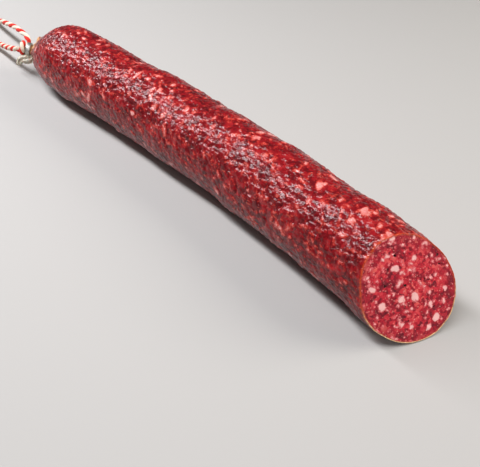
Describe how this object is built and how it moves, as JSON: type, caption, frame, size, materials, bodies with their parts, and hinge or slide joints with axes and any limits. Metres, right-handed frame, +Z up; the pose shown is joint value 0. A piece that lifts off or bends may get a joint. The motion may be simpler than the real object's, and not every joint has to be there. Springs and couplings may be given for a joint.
{
  "type": "cured sausage",
  "caption": "Dry-cured sausage lying on its side: one end tapered, clipped and hung on a twisted twine loop, the other cut off on a slant.",
  "frame": {"origin": "on the surface it lies on, under the middle of the sausage and its clip, without the twine", "axes": "+X along the sausage from the tied end to the cut, +Y towards the side it bows to, +Z up"},
  "size_m": [0.5502, 0.0662, 0.0546],
  "materials": {
    "casing": "translucent glossy casing, crimson meat and pink fat showing through",
    "meat": "moist cut meat, rose crimson, mottled",
    "fat": "waxy pale pink pieces",
    "clip": "bright, slightly scuffed",
    "twine": "two-ply cotton, one strand red and one cream"
  },
  "bodies": {
    "root": {"sausage": "casing", "clip": "clip", "twine_knot": "twine", "twine_loop": "twine"}
  },
  "joints": []
}
